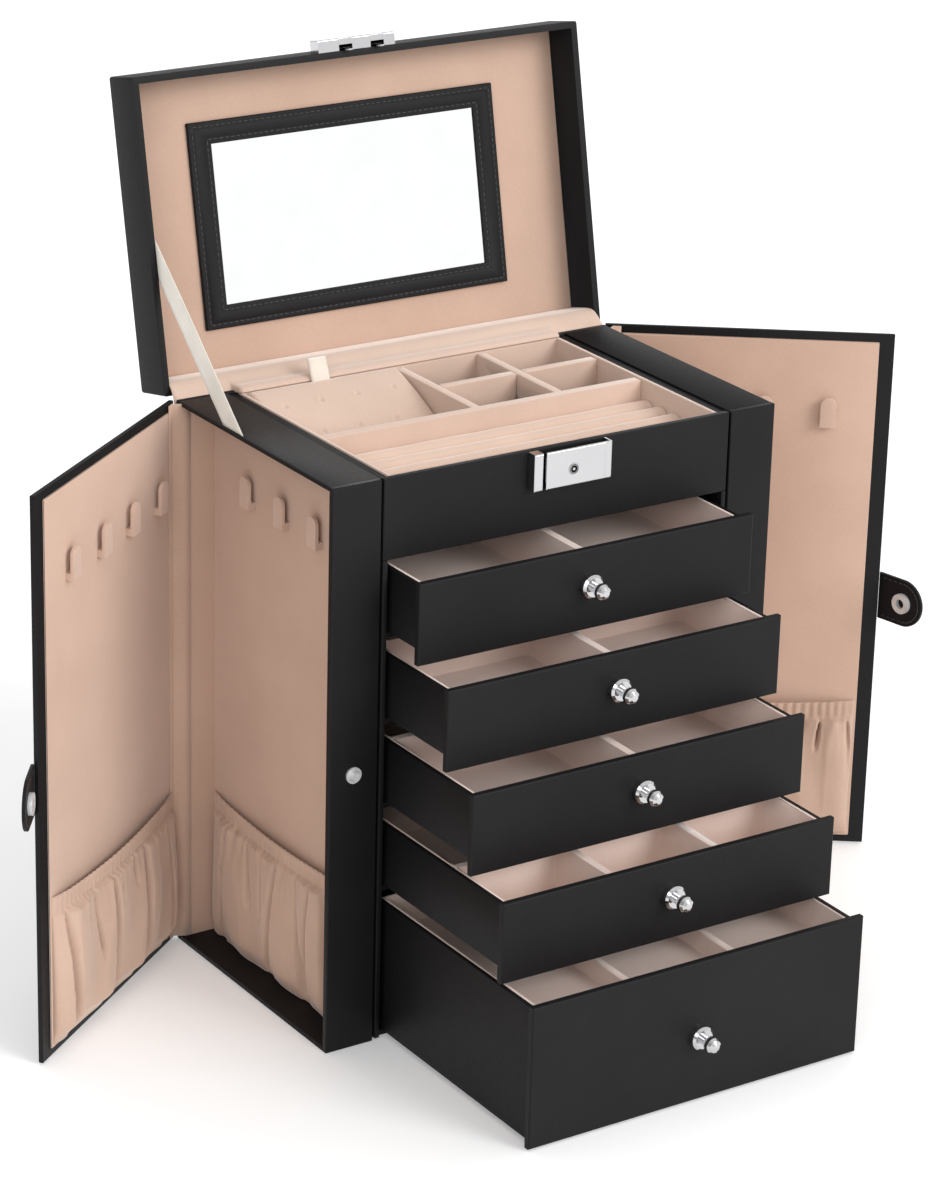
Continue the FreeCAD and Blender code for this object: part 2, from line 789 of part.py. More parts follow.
def gathered_pocket(wall_x, out, y1, foot, top, depths):
    # A cloth front gathered under an elastic band; open at the top, closed at foot and ends
    y0 = inner_front_y + door_lining_front_gap + pocket_end_gap
    pitch = (y1 - y0) / pocket_folds
    band_foot = top - pocket_band
    levels = [foot, foot + (band_foot - foot) * pocket_belly, band_foot]

    def fold_line(level, depth):
        # Round uneven folds, each a few facets wide
        points = []
        for step in range(pocket_folds * pocket_fold_facets + 1):
            fold = step / pocket_fold_facets
            swing = math.sin(pocket_drift_rate * fold) * math.sin(math.pi * fold / pocket_folds)
            drift = pocket_fold_unevenness * swing
            crest = pocket_fold_height * abs(math.sin(math.pi * fold))
            points.append(V(wall_x + out * (depth + crest), y0 + pitch * (fold + drift), level))
        return points

    pieces = []
    for span in range(2):
        slant = V(out * (depths[span + 1] - depths[span]), 0, levels[span + 1] - levels[span])
        outline = fold_line(levels[span], depths[span])
        outline += fold_line(levels[span], depths[span] - pocket_cloth)[::-1]
        pieces.append(extruded(outline, slant))
    band_out = depths[2] + pocket_fold_height
    xs = sorted([wall_x + out * (depths[2] - pocket_cloth), wall_x + out * band_out])
    pieces.append(box(xs[0], xs[1], y0, y1, band_foot, top))
    for y in (y0, y1 - pocket_cloth):
        outline = [V(wall_x, y, foot)]
        outline += [V(wall_x + out * d, y, z) for d, z in zip(depths, levels)]
        outline += [V(wall_x + out * depths[2], y, top), V(wall_x, y, top)]
        pieces.append(extruded(outline, V(0, pocket_cloth, 0)))
    xs = sorted([wall_x, wall_x + out * depths[0]])
    pieces.append(box(xs[0], xs[1], y0, y1, foot, foot + pocket_cloth))
    return single(pieces[0].fuse(pieces[1:]).removeSplitter())


def pocket_back_y():
    return inner_back_y - niche_back_thickness - pocket_end_gap


def door_pocket(side):
    foot = door_foot + door_lining_end_gap + pocket_foot_rise
    pocket = gathered_pocket(door_lining_x, -1, pocket_back_y(), foot,
                             base_board_thickness + door_pocket_rise, door_pocket_depths)
    return place_side(pocket, side)


def niche_pocket(side):
    pocket = gathered_pocket(niche_wall_x, 1, pocket_back_y(), base_board_thickness + slide_gap,
                             base_board_thickness + niche_pocket_rise, niche_pocket_depths)
    return place_side(pocket, side)


# Leather hinges
def door_hinge():
    z0, z1 = hinge_end_inset, case_height - hinge_end_inset
    strip = box(door_inner_x - hinge_strip_reach, door_inner_x, back_y, back_y + hinge_strip, z0, z1)
    bead = Part.makeCylinder(hinge_bead_radius, z1 - z0, V(door_inner_x, door_axis_y, z0), Z_AXIS)
    return single(strip.fuse(bead).removeSplitter())


def lid_hinge():
    half = lid_hinge_half_width - hinge_strip_reach
    top = lid_axis.z + lid_hinge_flange / 2
    strip = box(-half, half, back_y, back_y + hinge_strip, top - lid_hinge_drop, top)
    flange = box(-half, half, back_y, lid_axis.y, top - lid_hinge_flange, top)
    bead = Part.makeCylinder(lid_bead_radius, 2 * half, lid_axis + V(-half, 0, 0), X_AXIS)
    return single(strip.fuse([flange, bead]).removeSplitter())


# Snap tabs and studs
def snap_centre_y():
    return tab_axis_y - snap_from_edge


def snap_tab(side):
    # A leather tab with a round end, in line with the door before it is folded
    half = tab_width / 2
    x0 = door_outer_x - tab_thickness / 2
    plate = box(x0, x0 + tab_thickness, snap_centre_y(), tab_axis_y,
                tab_centre_z - half, tab_centre_z + half)
    end = Part.makeCylinder(half, tab_thickness, V(x0, snap_centre_y(), tab_centre_z), X_AXIS)
    bead = Part.makeCylinder(tab_bead_radius, tab_width,
                             V(door_outer_x, tab_axis_y, tab_centre_z - half), Z_AXIS)
    return place_side(single(plate.fuse([end, bead]).removeSplitter()), side)


def snap_socket(side):
    # Socket ring on the inner face and a round cap on the outer face
    x_in = door_outer_x - tab_thickness / 2
    x_out = door_outer_x + tab_thickness / 2
    inside = V(x_in, snap_centre_y(), tab_centre_z)
    outside = V(x_out, snap_centre_y(), tab_centre_z)
    ring = Part.makeCylinder(socket_radius, socket_thickness, inside, -X_AXIS)
    ring = ring.cut(Part.makeCylinder(socket_bore_radius, socket_thickness, inside, -X_AXIS))
    cap = Part.makeCylinder(socket_cap_radius, socket_cap_thickness, outside, X_AXIS)
    return [place_side(single(ring), side), place_side(cap, side)]


def snap_stud():
    centre = V(door_outer_x - snap_from_edge, front_y, tab_centre_z)
    neck_end = stud_base_thickness + stud_neck_length
    profile = [(0, 0), (stud_base_radius, 0), (stud_base_radius, stud_base_thickness),
               (stud_neck_radius, stud_base_thickness), (stud_neck_radius, neck_end),
               (stud_head_radius, neck_end + stud_head_bevel), (stud_head_radius, stud_length),
               (0, stud_length)]
    return turned(profile, centre)


# Stay strap, drawn straight between the open lid and the roof's outer edge
def stay_strap():
    # Lies against the lid's left wall; its slanted foot lies along the roof's outer edge
    x = lid_wall - lid_width / 2
    shut = Part.Vertex(x, lid_back_y - strap_lid_from_hinge, lid_rim_z)
    top = lid_at_rest(shut).Point
    foot = V(x, strap_case_y, case_height)
    direction = (top - foot).normalize()
    across = direction.cross(X_AXIS) * (strap_width / 2)
    half = V(0, strap_width / 2 / direction.z, 0)
    return extruded([foot - half, foot + half, top + across, top - across], V(strap_thickness, 0, 0))


os.makedirs("parts", exist_ok=True)

save("base_board", [base_board()])
save("back_panel", [back_panel()])
save("pillars", both_sides(pillar()))
save("roofs", both_sides(roof()))
save("carcass_sides", both_sides(carcass_side()))
save("niche_lining_l", niche_lining(-1))
save("niche_lining_r", niche_lining(1))
save("niche_hooks", niche_hooks())
save("niche_pockets", [niche_pocket(-1), niche_pocket(1)])
save("shelves", shelves())
save("front_panel", [front_panel()])
save("tray_lining", [tray_lining()])
save("tray_partitions", tray_partitions())
save("ring_rolls", ring_rolls())
save("earring_board", [earring_board()])
save("pull_ribbon", [pull_ribbon()])
save("lock_body", [lock_body()])
save("lock_button", [lock_button()])
save("key_barrel", [key_barrel()])
save("snap_studs", both_sides(snap_stud()))
save("lid_hinge", [lid_hinge()])
save("door_hinges", both_sides(door_hinge()))
save("stay_strap", [stay_strap()])

save("lid_shell", [lid_at_rest(lid_shell())])
save("lid_lining", [lid_at_rest(lid_lining())])
save("mirror_frame", [lid_at_rest(mirror_frame())])
save("mirror_glass", [lid_at_rest(mirror_glass())])
save("hasp", [lid_at_rest(hasp())])

for side, letter in ((-1, "l"), (1, "r")):
    save("door_panel_" + letter, [door_at_rest(door_panel(side), side)])
    save("door_lining_" + letter, [door_at_rest(door_lining(side), side)])
    save("door_hooks_" + letter, [door_at_rest(hook, side) for hook in door_hooks(side)])
    save("door_pocket_" + letter, [door_at_rest(door_pocket(side), side)])
    save("snap_tab_" + letter, [tab_at_rest(snap_tab(side), side)])
    save("snap_socket_" + letter, [tab_at_rest(piece, side) for piece in snap_socket(side)])

for number in range(5):
    name = "drawer_" + str(number + 1)
    save(name + "_box", [drawer_at_rest(drawer_box(number), number)])
    save(name + "_insert", [drawer_at_rest(drawer_insert(number), number)])
    save(name + "_front", [drawer_at_rest(drawer_front(number), number)])
    save(name + "_knob", [drawer_at_rest(drawer_knob(number), number)])
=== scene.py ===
# Looks of the makeup case: grained leatherette, velvet linings, gathered pockets, chrome and
# mirror. Metres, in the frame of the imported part: X right, Y back, Z up.
import json
import math
import random

import bmesh
import bpy
from mathutils import Matrix, Vector, noise

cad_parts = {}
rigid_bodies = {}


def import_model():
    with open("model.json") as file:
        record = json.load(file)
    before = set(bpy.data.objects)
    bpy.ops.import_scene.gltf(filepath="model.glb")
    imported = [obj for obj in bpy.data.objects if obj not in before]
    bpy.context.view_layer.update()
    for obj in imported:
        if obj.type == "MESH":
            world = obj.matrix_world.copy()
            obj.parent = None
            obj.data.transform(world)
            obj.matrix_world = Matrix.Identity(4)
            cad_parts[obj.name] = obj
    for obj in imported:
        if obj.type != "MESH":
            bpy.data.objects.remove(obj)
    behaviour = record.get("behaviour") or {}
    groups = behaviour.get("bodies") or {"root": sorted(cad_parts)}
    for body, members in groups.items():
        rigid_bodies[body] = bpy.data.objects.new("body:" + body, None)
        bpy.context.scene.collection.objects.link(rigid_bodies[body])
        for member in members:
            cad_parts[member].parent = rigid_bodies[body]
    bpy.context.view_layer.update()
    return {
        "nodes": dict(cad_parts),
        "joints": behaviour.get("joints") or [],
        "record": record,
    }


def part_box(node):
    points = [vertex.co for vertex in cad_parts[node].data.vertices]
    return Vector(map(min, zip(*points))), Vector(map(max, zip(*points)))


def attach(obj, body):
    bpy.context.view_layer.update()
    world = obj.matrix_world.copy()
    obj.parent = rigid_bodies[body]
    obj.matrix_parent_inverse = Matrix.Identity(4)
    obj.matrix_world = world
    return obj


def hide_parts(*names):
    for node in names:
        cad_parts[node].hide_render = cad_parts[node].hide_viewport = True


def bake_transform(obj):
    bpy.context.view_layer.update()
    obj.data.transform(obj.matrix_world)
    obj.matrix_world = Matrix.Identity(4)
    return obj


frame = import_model()
MM = 0.001
random.seed(7)

# Thicknesses of the cards and walls under the cloth
lid_lining_card = 1.45 * MM
lid_skirt = 0.7 * MM
tray_back_wall = 4.1 * MM
niche_back_card = 2.5 * MM
niche_hook_depth = 4.4 * MM

# Camera
camera_azimuth = -33.72
camera_elevation = 21.204
camera_roll = 1.531
camera_distance = 2.0026
camera_aim_right = -0.03956
camera_aim_up = 0.07201
camera_aim_height = 0.150
focal_length = 150.82
sensor_width = 36.0
view_shift = (0.0016, -0.0110)

# Studio light
studio_low = 1.05
studio_high = 0.92
studio_left = 0.45
sun_spread = 28.0
suns = [("key", 24.0, 27.0, 1.45), ("fill", -48.0, 24.0, 0.52)]
rise_start = 0.22
rise_end = 0.60
left_start = -0.80
left_end = -0.15
floor_glow = 0.22
floor_size = 6.0
floor_height = -0.0001

# Soft edges that cloth and leather give to the cards below them
sharp_angle = 34.0
knob_sharp_angle = 62.0
rounded_angle = 50.0
weld_reach = 0.01 * MM
edge_rounding = {"beige_velvet": 0.9 * MM, "hook_velvet": 0.5 * MM, "black_leatherette": 0.4 * MM}

# Cloth and seams
cloth_lift = 0.25 * MM
pocket_thickness = 0.5 * MM
hinge_cloth_thickness = 0.4 * MM
strap_thickness = 0.45 * MM
pull_thickness = 0.25 * MM
stitch_length = 2.3 * MM
stitch_pitch = 3.3 * MM
stitch_radius = 0.32 * MM
pocket_sag = 2.4 * MM
pocket_band = 9.5 * MM
pocket_pleats = 9
foot_waves = 1.3 * MM
door_foot_share = 0.30
niche_foot_share = 0.5
door_pocket_seed = 31
niche_pocket_seed = 54
roll_count = 5
roll_gap = 0.4 * MM
roll_crown = 6.5 * MM
tab_root = 2.5 * MM
tab_seam_inset = 2.2 * MM
frame_seam_inset = 2.4 * MM
frame_puff = 0.7 * MM
puff_inset = 0.8 * MM
glass_lip = 2.8 * MM
strap_width = 12.5 * MM
strap_tuck = 9.0 * MM
corner_reach = 3.2 * MM
corner_drop = 4.5 * MM
door_cloth_foot = 2.5 * MM
door_cloth_head = 0.4 * MM

# Hasp and keyhole
hasp_height = 8.0 * MM
hook_pitch = 19.0 * MM
hook_centre_x = 0.8 * MM
hook_slot = 8.0 * MM
slot_gap = 3.0 * MM
lip_beside_slot = 0.4 * MM
# Inset of each slot's plate of painted shade from the slot's sides
slot_shade_inset = 0.05 * MM
# Radii of the ring of painted shade round the keyhole
keyhole_shade_inner = 0.85 * MM
keyhole_shade_outer = 2.5 * MM

# Earring board
flap_card = 2.4 * MM
flap_bead = 1.3 * MM
flap_rise = 1.4 * MM
flap_crown = 4.0 * MM
pit_columns = 4
pit_pitch = 21.4 * MM
pit_rows = [17.0 * MM, 39.0 * MM]
pit_radius = 1.1 * MM
pit_depth = 1.5 * MM
pit_rim = 0.22 * MM
flap_rim = 2.2 * MM


# Materials
def principled(name, roughness, metallic=0.0):
    material = bpy.data.materials.new(name)
    material.use_nodes = True
    shader = material.node_tree.nodes["Principled BSDF"]
    shader.inputs["Roughness"].default_value = roughness
    shader.inputs["Metallic"].default_value = metallic
    return material, shader


def add(material, kind, **inputs):
    node = material.node_tree.nodes.new(kind)
    for key, value in inputs.items():
        node.inputs[key.replace("_", " ")].default_value = value
    return node


def join(material, source, target):
    material.node_tree.links.new(source, target)


def coordinates(material):
    return add(material, "ShaderNodeTexCoord").outputs["Object"]


def mottled(material, where, scale, low, high, detail=3.0):
    # A noise that runs between two colours
    spots = add(material, "ShaderNodeTexNoise", Scale=scale, Detail=detail)
    join(material, where, spots.inputs["Vector"])
    ramp = material.node_tree.nodes.new("ShaderNodeValToRGB")
    ramp.color_ramp.elements[0].position = 0.3
    ramp.color_ramp.elements[1].position = 0.7
    ramp.color_ramp.elements[0].color = (*low, 1)
    ramp.color_ramp.elements[1].color = (*high, 1)
    join(material, spots.outputs["Fac"], ramp.inputs["Fac"])
    return spots, ramp


def spread(material, source, low, high):
    # Maps a 0 to 1 value to a range
    node = add(material, "ShaderNodeMapRange", To_Min=low, To_Max=high)
    join(material, source, node.inputs["Value"])
    return node.outputs["Result"]


def bump(material, shader, height, strength, distance):
    node = add(material, "ShaderNodeBump", Strength=strength, Distance=distance)
    join(material, height, node.inputs["Height"])
    join(material, node.outputs["Normal"], shader.inputs["Normal"])


def leatherette():
    material, shader = principled("black_leatherette", 0.5)
    where = coordinates(material)
    ramp = mottled(material, where, 14.0, (0.0065, 0.006, 0.007), (0.0095, 0.009, 0.010))[1]
    join(material, ramp.outputs["Color"], shader.inputs["Base Color"])
    grain = add(material, "ShaderNodeTexVoronoi", Scale=1300.0, Randomness=1.0)
    join(material, where, grain.inputs["Vector"])
    creases = add(material, "ShaderNodeTexNoise", Scale=420.0, Detail=4.0)
    join(material, where, creases.inputs["Vector"])
    mixed = material.node_tree.nodes.new("ShaderNodeMath")
    mixed.operation = "ADD"
    join(material, grain.outputs["Distance"], mixed.inputs[0])
    join(material, creases.outputs["Fac"], mixed.inputs[1])
    bump(material, shader, mixed.outputs["Value"], 0.35, 0.12 * MM)
    join(material, spread(material, creases.outputs["Fac"], 0.44, 0.60), shader.inputs["Roughness"])
    shader.inputs["IOR"].default_value = 1.27
    shader.inputs["Specular IOR Level"].default_value = 0.5
    return material


def velvet(name, low, high, pile, sheen):
    material, shader = principled(name, 0.92)
    where = coordinates(material)
    ramp = mottled(material, where, 22.0, low, high, 5.0)[1]
    fibres = add(material, "ShaderNodeTexNoise", Scale=pile, Detail=2.0)
    join(material, where, fibres.inputs["Vector"])
    flecks = material.node_tree.nodes.new("ShaderNodeMixRGB")
    flecks.blend_type = "SOFT_LIGHT"
    flecks.inputs["Fac"].default_value = 0.35
    join(material, ramp.outputs["Color"], flecks.inputs["Color1"])
    join(material, fibres.outputs["Fac"], flecks.inputs["Color2"])
    join(material, flecks.outputs["Color"], shader.inputs["Base Color"])
    bump(material, shader, fibres.outputs["Fac"], 0.25, 0.15 * MM)
    shader.inputs["Sheen Weight"].default_value = sheen
    shader.inputs["Sheen Roughness"].default_value = 0.45
    shader.inputs["Sheen Tint"].default_value = (1.0, 0.93, 0.88, 1)
    shader.inputs["Specular IOR Level"].default_value = 0.12
    return material


def metal(name, colour, roughness, metallic=1.0):
    material, shader = principled(name, roughness, metallic)
    where = coordinates(material)
    spots, ramp = mottled(material, where, 60.0, tuple(0.97 * c for c in colour), colour)
    join(material, ramp.outputs["Color"], shader.inputs["Base Color"])
    join(material, spread(material, spots.outputs["Fac"], roughness * 0.8, roughness * 1.3),
         shader.inputs["Roughness"])
    return material


def ribbon():
    # Threads run both ways as fine bands
    material, shader = principled("cream_ribbon", 0.75)
    where = coordinates(material)
    ramp = mottled(material, where, 90.0, (0.76, 0.71, 0.63), (0.84, 0.79, 0.71))[1]
    join(material, ramp.outputs["Color"], shader.inputs["Base Color"])
    threads = []
    for direction in ("X", "Z"):
        wave = add(material, "ShaderNodeTexWave", Scale=420.0, Distortion=0.4)
        wave.bands_direction = direction
        join(material, where, wave.inputs["Vector"])
        threads.append(wave.outputs["Fac"])
    both = material.node_tree.nodes.new("ShaderNodeMath")
    both.operation = "ADD"
    join(material, threads[0], both.inputs[0])
    join(material, threads[1], both.inputs[1])
    bump(material, shader, both.outputs["Value"], 0.3, 0.1 * MM)
    shader.inputs["Sheen Weight"].default_value = 0.2
    return material


def sewing_thread():
    material, shader = principled("black_thread", 0.6)
    ramp = mottled(material, coordinates(material), 900.0, (0.02, 0.019, 0.02), (0.06, 0.058, 0.06))[1]
    join(material, ramp.outputs["Color"], shader.inputs["Base Color"])
    return material


def painted_shade_black():
    # Painted shade: a matt black that stands in for the shade inside the hasp's slots and the keyhole
    material, shader = principled("painted_recess_shade", 0.9)
    where = coordinates(material)
    ramp = mottled(material, where, 300.0, (0.002, 0.002, 0.002), (0.005, 0.005, 0.005))[1]
    join(material, ramp.outputs["Color"], shader.inputs["Base Color"])
    shader.inputs["Specular IOR Level"].default_value = 0.1
    return material


def nickel():
    # The pressed snap rings are satin, not mirror bright
    material, shader = principled("nickel", 0.35, 0.35)
    spots, ramp = mottled(material, coordinates(material), 260.0, (0.66, 0.66, 0.67), (0.78, 0.78, 0.79))
    join(material, ramp.outputs["Color"], shader.inputs["Base Color"])
    join(material, spread(material, spots.outputs["Fac"], 0.28, 0.45), shader.inputs["Roughness"])
    return material


looks = {
    "black_leatherette": leatherette(),
    "beige_velvet": velvet("beige_velvet", (0.525, 0.355, 0.27), (0.575, 0.395, 0.305), 2600.0, 0.75),
    "gathered_satin": velvet("gathered_satin", (0.50, 0.345, 0.265), (0.57, 0.40, 0.31), 3400.0, 0.5),
    "hook_velvet": velvet("hook_velvet", (0.54, 0.375, 0.295), (0.60, 0.425, 0.335), 2600.0, 0.6),
    "polished_chrome": metal("polished_chrome", (0.60, 0.60, 0.61), 0.10),
    "mirror_glass": metal("mirror_glass", (0.96, 0.97, 0.97), 0.012),
    "cream_ribbon": ribbon(),
    "black_thread": sewing_thread(),
    # Painted light: a far paler velvet for the drawers' shaded insides
    "velvet_painted_drawer_light": velvet("velvet_painted_drawer_light", (0.86, 0.68, 0.60), (0.91, 0.735, 0.655), 2600.0, 0.8),
    # Painted light: a paler copy of the beige velvet for cloth that faces up
    "tray_velvet": velvet("tray_velvet", (0.62, 0.455, 0.365), (0.68, 0.505, 0.41), 2600.0, 0.85),
    # Painted shade for the hasp's slots and the keyhole
    "painted_recess_shade": painted_shade_black(),
    "nickel": nickel(),
}

slots = {part["node"]: part["material_slot"] for part in frame["record"]["subparts"]}
for node, shown in frame["nodes"].items():
    look = slots[node]
    # Painted light: the inserts get a velvet far paler than the linings, so that the dim insides of the
    # drawers come out as bright as lit
    if node.endswith("_insert"):
        look = "velvet_painted_drawer_light"
    # Painted light: the tray's parts get a paler copy of the beige velvet, as if lit from above; the lid's
    # hinge cloth, the ring rolls and the earring pad wear it too
    if node.startswith("tray_"):
        look = "tray_velvet"
    if node.startswith("snap_s"):
        look = "nickel"
    shown.data.materials.clear()
    shown.data.materials.append(looks[look])
    shown.data.polygons.foreach_set("use_smooth", [True] * len(shown.data.polygons))
    sharp = knob_sharp_angle if node.endswith("_knob") else sharp_angle
    shown.data.set_sharp_from_angle(angle=math.radians(sharp))
    if slots[node] in edge_rounding and not node.endswith(("_front", "pocket_l", "pocket_r", "pockets")):
        weld = shown.modifiers.new("weld", "WELD")
        weld.merge_threshold = weld_reach
        bevel = shown.modifiers.new("rounded_edges", "BEVEL")
        bevel.width = edge_rounding[slots[node]]
        bevel.segments = 3
        bevel.limit_method = "ANGLE"
        bevel.angle_limit = math.radians(rounded_angle)
        bevel.harden_normals = True


# From the shut case to the pose of rest: every joint's low end is its shut place
def rest_matrix(body):
    for joint in frame["joints"]:
        if joint["child"] == body:
            axis = Vector(joint["axis"])
            if joint["type"] == "slide":
                move = Matrix.Translation(axis * -joint["range_m"][0])
            else:
                place = Matrix.Translation(Vector(joint["pos_m"]))
                turn = Matrix.Rotation(math.radians(-joint["range_deg"][0]), 4, axis)
                move = place @ turn @ place.inverted()
            return move @ rest_matrix(joint["parent"])
    return Matrix.Identity(4)


def shut_box(node, body, side=0):
    # The box of a node in its shut pose; with a side, only of what lies left (-1) or right (1)
    back = rest_matrix(body).inverted()
    points = [back @ vertex.co for vertex in frame["nodes"][node].data.vertices]
    points = [p for p in points if side == 0 or p.x * side > 0]
    low = Vector([min(p[i] for p in points) for i in range(3)])
    high = Vector([max(p[i] for p in points) for i in range(3)])
    return low, high


# Meshes
def mesh_object(name, points, faces, look, body=None):
    # Points are in the shut pose of the body, or already at rest if no body is given
    if body:
        move = rest_matrix(body)
        points = [move @ Vector(p) for p in points]
    mesh = bpy.data.meshes.new(name)
    mesh.from_pydata([tuple(p) for p in points], [], faces)
    mesh.polygons.foreach_set("use_smooth", [True] * len(mesh.polygons))
    mesh.materials.append(looks[look])
    made = bpy.data.objects.new(name, mesh)
    bpy.context.scene.collection.objects.link(made)
    return made


def grid_faces(columns, rows):
    return [(r * columns + c, r * columns + c + 1, (r + 1) * columns + c + 1, (r + 1) * columns + c)
            for r in range(rows - 1) for c in range(columns - 1)]


def thicken(made, thickness, offset=0.0):
    solid = made.modifiers.new("thickness", "SOLIDIFY")
    solid.thickness = thickness
    solid.offset = offset
    return made


def smooth_step(t):
    t = min(1.0, max(0.0, t))
    return t * t * (3 - 2 * t)


def stitch_row(name, path, normal, body, closed=False):
    # Short thread loops along a path, each a slim six-sided spindle
    points = []
    faces = []
    path = [Vector(p) for p in path]
    if closed:
        path.append(path[0])
    normal = Vector(normal)
    for a, b in zip(path, path[1:]):
        run = b - a
        count = max(1, round(run.length / stitch_pitch))
        direction = run.normalized()
        side = direction.cross(normal)
        for index in range(count):
            middle = a + run * ((index + 0.5) / count)
            start = len(points)
            rings = ((-0.5, 0.35), (-0.25, 1.0), (0.25, 1.0), (0.5, 0.35))
            for reach, girth in rings:
                for corner in range(6):
                    angle = math.pi * corner / 3
                    spoke = side * math.cos(angle) + normal * math.sin(angle)
                    points.append(middle + direction * stitch_length * reach + spoke * stitch_radius * girth)
            for ring in range(3):
                for corner in range(6):
                    a0 = start + ring * 6 + corner
                    a1 = start + ring * 6 + (corner + 1) % 6
                    faces.append((a0, a1, a1 + 6, a0 + 6))
            faces.append(tuple(start + corner for corner in range(6)))
            faces.append(tuple(start + 18 + corner for corner in reversed(range(6))))
    made = mesh_object(name, points, faces, "black_thread", body)
    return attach(made, body)


# Gathered pockets
def gathered_pocket(name, node, body, wall_x, seed, foot_share, out):
    # A cloth sheet sewn at its foot and ends, drawn in by the elastic along its top
    low, high = shut_box(node, body, 1 if wall_x > 0 else -1)
    depth = abs((high.x if out > 0 else low.x) - wall_x)
    width = high.y - low.y
    height = high.z - low.z
    columns = 181
    rows = 60
    band_foot = 1 - pocket_band / height
    dice = random.Random(seed)
    pleats = []
    for number in range(pocket_pleats):
        u = (number + 0.5 + dice.uniform(-0.32, 0.32)) / pocket_pleats
        reach = dice.choice((0.3, 0.6, 1.1, 1.3))
        girth = dice.uniform(0.013, 0.028)
        cut = dice.uniform(0.9, 1.4)
        slant = dice.uniform(-0.08, 0.08)
        pleats.append((u, girth, reach, cut, slant))

    def foot_reach(v):
        # Towards its foot the cloth comes nearer the wall, a door's more than a niche's
        return foot_share + (1 - foot_share) * smooth_step(v * 9)

    points = []
    for row in range(rows):
        v = row / (rows - 1)
        below = max(0.0, band_foot - v) / band_foot
        on_cloth = 1 - smooth_step((v - band_foot + 0.02) / 0.03)
        for column in range(columns):
            u = column / (columns - 1)
            ends = min(1.0, math.sin(math.pi * u) * 3.2) ** 0.5
            belly = (0.60 + 0.28 * math.sin(math.pi * min(1.0, v * 1.1) ** 0.8)) * foot_reach(v)
            swell = belly * on_cloth + (0.16 + 0.26 * math.sin(math.pi * u)) * (1 - on_cloth)
            wave = 0.16 * math.sin(2 * math.pi * (3.3 * u + 0.4 * below) + seed)
            wave += 0.14 * noise.noise(Vector((u * 9, v * 2.0, seed)))
            gather = 0.24 * noise.noise(Vector((u * 38, v * 3.0, seed + 7))) * math.exp(-below / 0.14)
            valley = 0.0
            for centre, girth, reach, cut, slant in pleats:
                off = (u - centre - slant * below) / (girth * (0.35 + 0.9 * below))
                fade = smooth_step((reach - below) / 0.22) * smooth_step(below * 14)
                valley = max(valley, min(1.0, cut * fade * math.exp(-abs(off) ** 3)))
            ruffle = 0.035 * math.sin(2 * math.pi * 31 * u + 2 * math.sin(9 * u + seed))
            hem = 0.07 * smooth_step((v - 0.955) / 0.02)
            seam = 0.10 * math.exp(-((v - band_foot) / 0.010) ** 2)
            valley *= 0.97 * swell
            relief = (wave + gather) * foot_reach(v) * on_cloth + (ruffle + hem) * (1 - on_cloth)
            relief -= seam + valley * on_cloth
            across = wall_x + out * depth * max(0.03, min(0.97, swell + relief)) * ends
            sag = pocket_sag * math.sin(math.pi * u) * v
            hang = foot_waves * (1 - v) ** 4 * (0.5 + 0.5 * math.sin(19 * u + seed)) * ends * foot_share ** 2
            points.append((across, low.y + u * width, low.z + v * height - sag + hang))
    made = mesh_object(name, points, grid_faces(columns, rows), "gathered_satin", body)
    thicken(made, pocket_thickness)
    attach(made, body)
    return made, width, height


for side, letter, word in ((-1, "l", "left"), (1, "r", "right")):
    body = "door_" + word
    lining = shut_box("door_lining_" + letter, body)
    wall_x = lining[0].x if side > 0 else lining[1].x
    made = gathered_pocket("door_pocket_cloth_" + letter, "door_pocket_" + letter, body, wall_x,
                           door_pocket_seed + side, door_foot_share, -side)
    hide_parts("door_pocket_" + letter)
    pad_x = max(abs(v.co.x) for v in frame["nodes"]["niche_hooks"].data.vertices) - niche_hook_depth
    made = gathered_pocket("niche_pocket_cloth_" + letter, "niche_pockets", "case", side * pad_x,
                           niche_pocket_seed + side, niche_foot_share, side)
    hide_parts("niche_pockets")


# Ring rolls: padded cloth over foam
def ring_roll(number, low_y, high_y):
    low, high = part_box("ring_rolls")
    sections = 60
    outline = []
    half = (high_y - low_y) / 2
    for step in range(17):
        angle = math.pi * step / 16
        across = half * math.cos(angle)
        lift = math.sin(angle) ** 0.8
        outline.append((across, lift))
    points = []
    height = high.z - low.z
    for section in range(sections):
        x = low.x + (high.x - low.x) * section / (sections - 1)
        for across, lift in outline:
            swell = 0.25 * MM * noise.noise(Vector((x * 60, number * 3.0, across * 200)))
            y = (low_y + high_y) / 2 + across * 0.985
            points.append((x, y, high.z - roll_crown + roll_crown * lift + swell - 0.15 * MM))
        points.append((x, low_y + half - half * 0.985, low.z + height * 0.2))
        points.append((x, low_y + half + half * 0.985, low.z + height * 0.2))
    ring = len(outline) + 2
    faces = []
    for section in range(sections - 1):
        for corner in range(ring):
            a = section * ring + corner
            b = section * ring + (corner + 1) % ring
            faces.append((a, b, b + ring, a + ring))
    faces.append(tuple(range(ring)))
    faces.append(tuple(reversed(range((sections - 1) * ring, sections * ring))))
    made = mesh_object("ring_roll_cloth_" + str(number), points, faces, "tray_velvet")
    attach(made, "case")
    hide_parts("ring_rolls")
    return made


roll_low, roll_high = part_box("ring_rolls")
roll_pitch = (roll_high.y - roll_low.y + roll_gap) / roll_count
for number in range(roll_count):
    foot_y = roll_low.y + number * roll_pitch
    ring_roll(number, foot_y, foot_y + roll_pitch - roll_gap)


# Cloth over the hinges
def bridge_cloth(name, path, spans):
    # A strip whose cross line is path, repeated at each span position
    points = []
    for span in spans:
        for point in path:
            points.append(Vector(point) + Vector(span))
    made = mesh_object(name, points, grid_faces(len(path), len(spans)), "beige_velvet")
    thicken(made, hinge_cloth_thickness)
    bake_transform(made)
    return made


